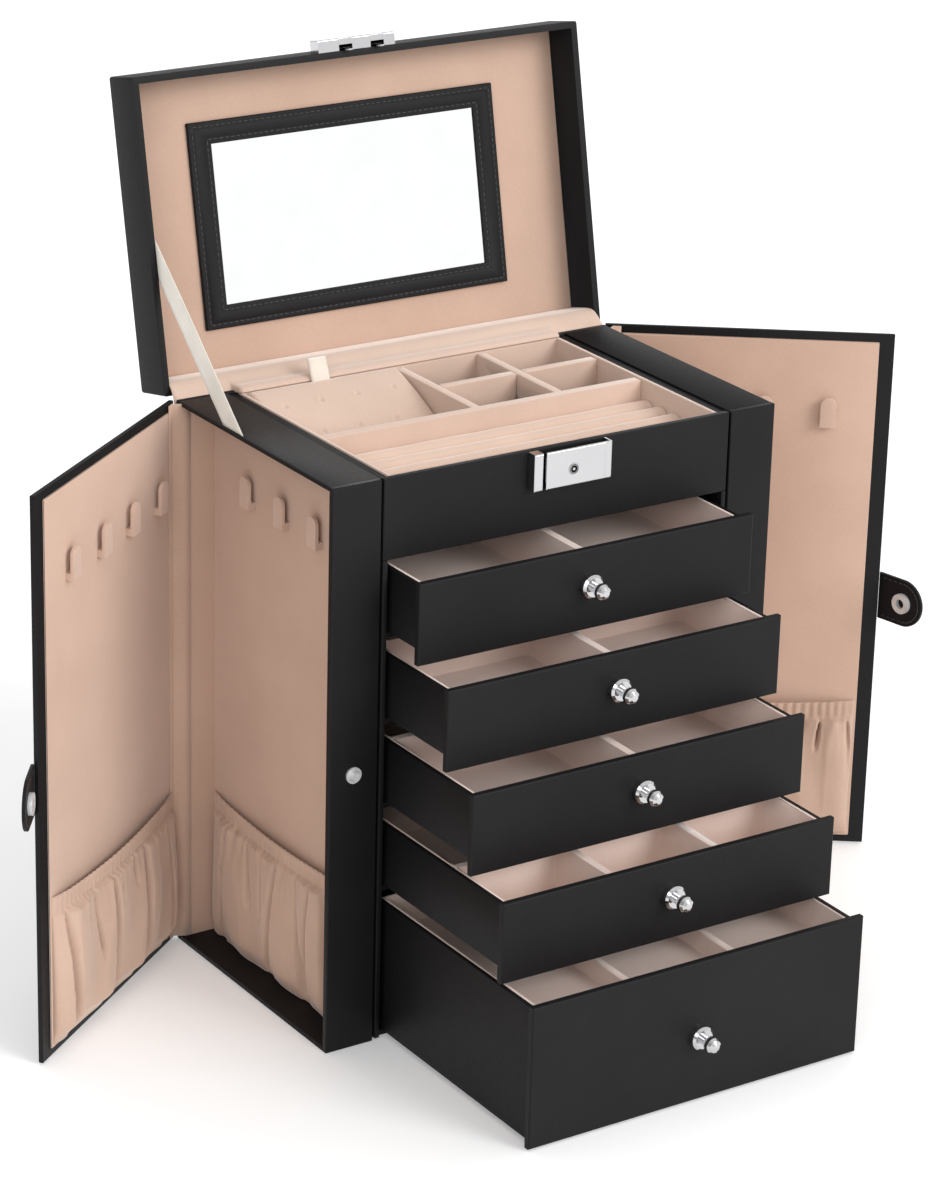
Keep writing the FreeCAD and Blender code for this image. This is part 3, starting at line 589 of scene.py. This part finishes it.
def bezier(p0, p1, p2, p3, steps):
    points = []
    for step in range(steps + 1):
        t = step / steps
        q = 1 - t
        points.append(p0 * q ** 3 + p1 * 3 * q * q * t + p2 * 3 * q * t * t + p3 * t ** 3)
    return points


# The lid's cloth lies in two soft rolls from the tray's back wall to the foot of the lid's lining
lid_move = rest_matrix("lid")
lining_high = shut_box("lid_lining", "lid")[1]
panel_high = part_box("back_panel")[1]
tray_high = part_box("tray_lining")[1]
roofs_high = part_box("roofs")[1]
card_face = lining_high.z - lid_lining_card
corner = lid_move @ Vector((0, lining_high.y - lid_skirt, card_face))
card_up = (lid_move @ Vector((0, lining_high.y - lid_skirt - 1, card_face)) - corner).normalized()
card_out = card_up.cross(Vector((1, 0, 0)))
if card_out.y > 0:
    card_out = -card_out
on_card = corner + card_up * 1.6 * MM + card_out * cloth_lift
front_y = tray_high.y - tray_back_wall
deck_z = panel_high.z
roll_line = [(0.0, 0.25), (0.35, 1.3), (1.8, 2.2), (4.6, 2.5), (8.0, 1.9), (11.0, 2.7), (14.0, 4.7),
             (17.0, 5.7), (20.5, 5.4), (25.5, 4.1), (31.0, 2.7)]
lid_path = [Vector((0, front_y + y * MM, deck_z + z * MM)) for y, z in roll_line] + [on_card]
deck_edge = panel_high.y + 0.4 * MM
opening = tray_high.x + 0.6 * MM
half = lining_high.x - 0.3 * MM
spans = [-half + 2 * half * i / 60 for i in range(61)]
spans += [edge + step for edge in (-opening, opening) for step in (-0.3 * MM, 0.3 * MM)]
spans += [end * (half + step) for end in (-1, 1) for step in (0.8 * MM, corner_reach)]
spans.sort()
points = []
for x in spans:
    for index, point in enumerate(lid_path):
        y, z = point.y, point.z
        if abs(x) > opening and y < deck_edge:
            y, z = deck_edge + 0.03 * MM * index, deck_z + (0.25 * index - 1.2) * MM
        if abs(x) > half:
            # The corners hang down outside the case and stay inside the lid
            share = 1 - smooth_step(index / 8)
            z -= corner_drop * share * (abs(x) - half) / corner_reach
            y += 0.3 * MM * share
            x_here = math.copysign(half + (abs(x) - half) * share, x)
            points.append((x_here, y, z))
            continue
        sway = 0.25 * MM * noise.noise(Vector((x * 30, index * 0.9, 2.0)))
        points.append((x, y, z + sway * (0 < index < len(lid_path) - 1)))
lid_cloth = mesh_object("lid_hinge_cloth", points, grid_faces(len(lid_path), len(spans)), "tray_velvet")
smooth = lid_cloth.modifiers.new("smooth", "SUBSURF")
smooth.levels = smooth.render_levels = 2
thicken(lid_cloth, hinge_cloth_thickness, -1.0)
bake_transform(lid_cloth)

# The doors' cloth turns the corner between the niche's back and the door's lining
for side, letter, word in ((-1, "l", "left"), (1, "r", "right")):
    body = "door_" + word
    move = rest_matrix(body)
    lining_low, lining_high = shut_box("door_lining_" + letter, body)
    door_low, door_high = shut_box("door_panel_" + letter, body)
    inner_x = lining_low.x if side > 0 else lining_high.x
    strip_low, strip_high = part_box("niche_lining_" + letter)
    strip_x = strip_high.x if side > 0 else strip_low.x
    strip_y = strip_high.y - niche_back_card - cloth_lift
    a0 = Vector((strip_x - side * 3.5 * MM, strip_y, 0))
    a1 = Vector((strip_x - side * 0.6 * MM, strip_y, 0))
    b1 = move @ Vector((inner_x - side * cloth_lift, lining_high.y - 1 * MM, 0))
    b0 = move @ Vector((inner_x - side * cloth_lift, lining_high.y - 5 * MM, 0))
    door_run = (b1 - b0).normalized()
    path = [a0] + bezier(a1, a1 + Vector((side * 2.5 * MM, 0, 0)), b1 + door_run * 0.6 * MM, b1, 10) + [b0]
    foot = door_low.z + door_cloth_foot
    top = door_high.z - door_cloth_head
    spans = [(0, 0, foot + (top - foot) * i / 24) for i in range(25)]
    bridge_cloth("door_hinge_cloth_" + letter, path, spans)

# Mirror frame: puffed leather between two rows of stitches
frame_low, frame_high = shut_box("mirror_frame", "lid")
glass_low, glass_high = shut_box("mirror_glass", "lid")
window_low = glass_low + Vector((glass_lip, glass_lip, 0))
window_high = glass_high - Vector((glass_lip, glass_lip, 0))
face_z = frame_low.z


def rectangle(low, high, inset, z):
    return [Vector((low.x + inset, low.y + inset, z)), Vector((high.x - inset, low.y + inset, z)),
            Vector((high.x - inset, high.y - inset, z)), Vector((low.x + inset, high.y - inset, z))]


stitch_row("mirror_frame_stitches_outer", rectangle(frame_low, frame_high, frame_seam_inset, face_z),
           (0, 0, -1), "lid", closed=True)
stitch_row("mirror_frame_stitches_inner", rectangle(window_low, window_high, -frame_seam_inset, face_z),
           (0, 0, -1), "lid", closed=True)
points = []
faces = []
steps = 10
for step in range(steps + 1):
    t = step / steps
    outer = rectangle(frame_low, frame_high, frame_seam_inset + puff_inset, 0)
    inner = rectangle(window_low, window_high, -frame_seam_inset - puff_inset, 0)
    z = face_z + 0.05 * MM - frame_puff * math.sin(math.pi * t) ** 0.6
    for a, b in zip(outer, inner):
        p = a * (1 - t) + b * t
        points.append((p.x, p.y, z))
for step in range(steps):
    for corner in range(4):
        a = step * 4 + corner
        b = step * 4 + (corner + 1) % 4
        faces.append((a, b, b + 4, a + 4))
puff = mesh_object("mirror_frame_puff", points, faces, "black_leatherette", "lid")
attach(puff, "lid")

# Snap tabs: a seam round each, on both faces, drawn on the tab folded over the case's front
for side, letter, word in ((-1, "l", "left"), (1, "r", "right")):
    body = "tab_" + word
    low, high = shut_box("snap_tab_" + letter, body)
    half = (high.z - low.z) / 2
    centre_x = low.x + half if side > 0 else high.x - half
    hinge_x = high.x - tab_root if side > 0 else low.x + tab_root
    centre_z = (low.z + high.z) / 2
    inner = half - tab_seam_inset
    for face, y in (("out", low.y), ("in", high.y)):
        seam = [Vector((hinge_x, y, centre_z - inner))]
        for step in range(17):
            angle = math.pi * (step / 16 - 0.5)
            seam.append(Vector((centre_x - side * inner * math.cos(angle), y,
                                centre_z + inner * math.sin(angle))))
        seam.append(Vector((hinge_x, y, centre_z + inner)))
        stitch_row("tab_stitches_" + face + "_" + letter, seam, (0, -1 if face == "out" else 1, 0), body)


# Stay strap: a flat ribbon from the lid's left wall down over the roof's outer edge
strap = frame["nodes"]["stay_strap"].data.vertices
strap_high = max(vertex.co.z for vertex in strap)
strap_top = [vertex.co for vertex in strap if vertex.co.z > strap_high - 12 * MM]
strap_foot = [vertex.co for vertex in strap if vertex.co.z < roofs_high.z + 0.1 * MM]
foot = sum(strap_foot, Vector()) / len(strap_foot)
top = sum(strap_top, Vector()) / len(strap_top)
run = (top - foot).normalized()
top += run * strap_tuck
across = run.cross(Vector((1, 0, 0))).normalized() * strap_width / 2
along_roof = Vector((0, strap_width / 2 / run.z, 0))
rows = 41
points = []
for row in range(rows):
    t = row / (rows - 1)
    bow = Vector((0.3 * MM * math.sin(math.pi * t), 0, 0))
    taut = min(1.0, t * 1.6)
    for step in range(7):
        reach = step / 3 - 1
        spot = foot + along_roof * reach
        spot = spot * (1 - t) + (top + across * reach) * t
        points.append(spot + bow * taut + Vector((0, 0, 0.1 * MM)))
stay = mesh_object("stay_strap_ribbon", points, grid_faces(7, rows), "cream_ribbon")
thicken(stay, strap_thickness)
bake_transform(stay)
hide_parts("stay_strap")

# Pull ribbon: one strip folded over at the top and glued to the board's back edge
pull_low, pull_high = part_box("pull_ribbon")
pull_width = 10.8 * MM
lean = Vector((pull_low.x + pull_width - pull_high.x, 0, pull_high.z - pull_low.z))
foot = Vector((pull_high.x - pull_width / 2, (pull_low.y + pull_high.y) / 2, pull_low.z))
gap = 0.32 * MM
line = []
for step in range(13):
    line.append(foot + lean * (step / 12 * 0.95) + Vector((0, -gap, 0)))
for step in range(1, 8):
    angle = math.pi * step / 8
    line.append(foot + lean * (0.95 + 0.04 * math.sin(angle)) + Vector((0, -gap * math.cos(angle), 0)))
for step in range(13):
    line.append(foot + lean * ((12 - step) / 12 * 0.95) + Vector((0, gap, 0)))
across = Vector((pull_width, 0, 0))
points = [point + across * (step / 6 - 0.5) for point in line for step in range(7)]
pull = mesh_object("pull_ribbon_cloth", points, grid_faces(7, len(line)), "cream_ribbon")
thicken(pull, pull_thickness)
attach(pull, "earring_flap")
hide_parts("pull_ribbon")

# Earring board: a crowned pad with a pit at each pair of studs
board_low, board_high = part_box("earring_board")
axis_point = Vector((0, board_low.y + flap_bead, board_low.z + flap_bead))
back_point = Vector((0, board_high.y, panel_high.z + flap_rise - flap_card / 2))
slope = (back_point - axis_point).normalized()
lift = Vector((1, 0, 0)).cross(slope)
board_length = (back_point - axis_point).length
board_width = board_high.x - board_low.x
pits = []
for index, row in enumerate(pit_rows):
    holes = pit_columns - index % 2
    first = (board_width - (holes - 1) * pit_pitch) / 2
    for column in range(holes):
        pits.append((first + column * pit_pitch, board_length - row))
columns, rows = 121, 61
points = []
for layer in (1, -1):
    for row in range(rows):
        t = row / (rows - 1)
        along = board_length * t
        for column in range(columns):
            u = column / (columns - 1)
            x = board_width * u
            from_side = min(u, 1 - u) * board_width / flap_rim
            from_end = min(t, 1 - t) * board_length / flap_rim
            rim = min(1.0, from_side, from_end)
            puff = math.sqrt(1 - (1 - rim) ** 2)
            height = -flap_card / 2
            if layer > 0:
                crown = flap_crown * (1 - (2 * t - 1) ** 2)
                height = flap_card * (puff - 0.5) + crown * puff
                for pit_x, pit_along in pits:
                    away = ((x - pit_x) ** 2 + (along - pit_along) ** 2) / pit_radius ** 2
                    if away < 9:
                        raised = pit_rim * math.exp(-(math.sqrt(away) - 2) ** 2)
                        height -= pit_depth * math.exp(-away) - raised
            spot = axis_point + slope * along + lift * height + Vector((board_low.x + x, 0, 0))
            spot.y = min(spot.y, board_high.y)
            points.append(spot)
count = columns * rows
faces = grid_faces(columns, rows)
faces += [tuple(count + i for i in reversed(face)) for face in grid_faces(columns, rows)]
rim = [i for i in range(columns)] + [r * columns + columns - 1 for r in range(1, rows)]
rim += [(rows - 1) * columns + i for i in range(columns - 2, -1, -1)]
rim += [r * columns for r in range(rows - 2, 0, -1)]
for index, a in enumerate(rim):
    b = rim[(index + 1) % len(rim)]
    faces.append((b, a, a + count, b + count))
board = mesh_object("earring_pad", points, faces, "tray_velvet")
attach(board, "earring_flap")
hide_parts("earring_board")


# Thin trim on the chrome parts: chrome lips, and painted shade in the hasp's slots and round the keyhole
def ring_disc(name, centre, normal, inner, outer, look, body, steps=40):
    # A flat ring with a slight dish
    normal = Vector(normal)
    side = normal.orthogonal().normalized()
    other = normal.cross(side)
    points = []
    radii = [inner, inner * 0.7 + outer * 0.3, inner * 0.3 + outer * 0.7, outer]
    dish = [0.0, -0.12 * MM, -0.12 * MM, 0.0]
    for radius, drop in zip(radii, dish):
        for step in range(steps):
            angle = 2 * math.pi * step / steps
            points.append(Vector(centre) + (side * math.cos(angle) + other * math.sin(angle)) * radius
                          + normal * drop)
    faces = []
    for ring in range(3):
        for step in range(steps):
            a = ring * steps + step
            b = ring * steps + (step + 1) % steps
            faces.append((a, b, b + steps, a + steps))
    made = mesh_object(name, points, faces, look, body)
    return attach(thicken(made, 0.08 * MM), body)


def bent_plate(name, low, high, body, look, edge):
    # A thin pressed plate with eased edges, drawn shut: low and high are its corners
    mesh = bmesh.new()
    bmesh.ops.create_cube(mesh, size=1.0)
    middle, size = (low + high) / 2, high - low
    for vertex in mesh.verts:
        vertex.co = Vector([middle[i] + vertex.co[i] * size[i] for i in range(3)])
    bmesh.ops.bevel(mesh, geom=mesh.edges[:], offset=edge, segments=3, profile=0.7, affect="EDGES")
    mesh.verts.index_update()
    points = [vertex.co.copy() for vertex in mesh.verts]
    faces = [tuple(vertex.index for vertex in face.verts) for face in mesh.faces]
    mesh.free()
    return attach(mesh_object(name, points, faces, look, body), body)


hasp_low, hasp_high = shut_box("hasp", "lid")
hasp_case_low = hasp_high.z - hasp_height
for number, slot_x in enumerate((-hook_pitch / 2, hook_pitch / 2)):
    slot_x += hook_centre_x
    slot_left = slot_x - hook_slot / 2
    slot_right = slot_x + hook_slot / 2
    corner_low = Vector((slot_left - lip_beside_slot, hasp_low.y + 0.2 * MM, hasp_case_low - 0.05 * MM))
    corner_high = Vector((slot_right + lip_beside_slot, hasp_high.y - slot_gap, hasp_case_low + 0.55 * MM))
    bent_plate("hasp_lip_" + str(number), corner_low, corner_high, "lid", "polished_chrome", 0.15 * MM)
    # Painted shade: a black plate deep in each slot stands in for the shade inside it
    corner_low = Vector((slot_left + slot_shade_inset, hasp_low.y + 1.25 * MM, hasp_high.z - 2.6 * MM))
    corner_high = Vector((slot_right - slot_shade_inset, hasp_high.y - 1.0 * MM, hasp_high.z - 1.25 * MM))
    bent_plate("hasp_slot_painted_shade_" + str(number), corner_low, corner_high, "lid", "painted_recess_shade", 0.2 * MM)

barrel_low, barrel_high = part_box("key_barrel")
key_centre = (barrel_low + barrel_high) / 2
# Painted shade: a black ring on the barrel's face stands in for the shade in the keyhole's recess
ring_disc("keyhole_painted_shade", (key_centre.x, barrel_low.y - 0.06 * MM, key_centre.z), (0, -1, 0),
          keyhole_shade_inner, keyhole_shade_outer, "painted_recess_shade", "key_cylinder")

# Floor, light and camera
mesh = bpy.data.meshes.new("floor")
points = [(x, y, floor_height) for x in (-floor_size, floor_size) for y in (-floor_size, floor_size)]
mesh.from_pydata(points, [], [(0, 2, 3, 1)])
floor_look, floor_shader = principled("pale_floor", 0.9)
ramp = mottled(floor_look, coordinates(floor_look), 3.0, (0.92, 0.92, 0.92), (0.94, 0.94, 0.94))[1]
join(floor_look, ramp.outputs["Color"], floor_shader.inputs["Base Color"])
join(floor_look, ramp.outputs["Color"], floor_shader.inputs["Emission Color"])
floor_shader.inputs["Emission Strength"].default_value = floor_glow
mesh.materials.append(floor_look)
floor = bpy.data.objects.new("floor", mesh)
bpy.context.scene.collection.objects.link(floor)


def towards(azimuth, elevation):
    # The way from the object to a light or to the camera, for angles in degrees
    azimuth, elevation = math.radians(azimuth), math.radians(elevation)
    return Vector((math.sin(azimuth) * math.cos(elevation), -math.cos(azimuth) * math.cos(elevation),
                   math.sin(elevation)))


def soft_sun(name, azimuth, elevation, strength):
    light = bpy.data.lights.new(name, "SUN")
    light.energy = strength
    light.angle = math.radians(sun_spread)
    lamp = bpy.data.objects.new(name, light)
    bpy.context.scene.collection.objects.link(lamp)
    lamp.rotation_euler = towards(azimuth, elevation).to_track_quat("Z", "Y").to_euler()


for sun in suns:
    soft_sun(*sun)

# The studio is brighter low down than high up, and darker on its left
world = bpy.context.scene.world or bpy.data.worlds.new("studio")
bpy.context.scene.world = world
world.use_nodes = True
background = world.node_tree.nodes["Background"]
direction = add(world, "ShaderNodeTexCoord")
axes = add(world, "ShaderNodeSeparateXYZ")
join(world, direction.outputs["Generated"], axes.inputs[0])


def studio_fade(axis, start, end, low, high):
    # A brightness that goes from low to high as the direction's part along the axis goes from start to end
    node = add(world, "ShaderNodeMapRange", From_Min=start, From_Max=end, To_Min=low, To_Max=high)
    join(world, axes.outputs[axis], node.inputs["Value"])
    return node.outputs["Result"]


rise = studio_fade("Z", rise_start, rise_end, studio_low, studio_high)
sides = studio_fade("X", left_start, left_end, studio_left, 1.0)
product = add(world, "ShaderNodeMath")
product.operation = "MULTIPLY"
join(world, rise, product.inputs[0])
join(world, sides, product.inputs[1])
join(world, product.outputs["Value"], background.inputs["Strength"])
background.inputs["Color"].default_value = (1, 1, 1, 1)
bpy.context.scene.view_settings.view_transform = "Standard"

backward = towards(camera_azimuth, camera_elevation)
azimuth, roll = math.radians(camera_azimuth), math.radians(camera_roll)
level = Vector((math.cos(azimuth), math.sin(azimuth), 0))
upward = backward.cross(level)
right = level * math.cos(roll) + upward * math.sin(roll)
up = upward * math.cos(roll) - level * math.sin(roll)
front_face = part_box("pillars")[0].y
aim = Vector((0, front_face, camera_aim_height)) + right * camera_aim_right + up * camera_aim_up
camera_data = bpy.data.cameras.new("camera")
camera_data.lens = focal_length
camera_data.sensor_width = sensor_width
camera_data.sensor_fit = "HORIZONTAL"
camera_data.shift_x, camera_data.shift_y = view_shift
camera = bpy.data.objects.new("camera", camera_data)
bpy.context.scene.collection.objects.link(camera)
turn = Matrix((right, up, backward)).transposed().to_4x4()
camera.matrix_world = Matrix.Translation(aim + backward * camera_distance) @ turn
bpy.context.scene.camera = camera
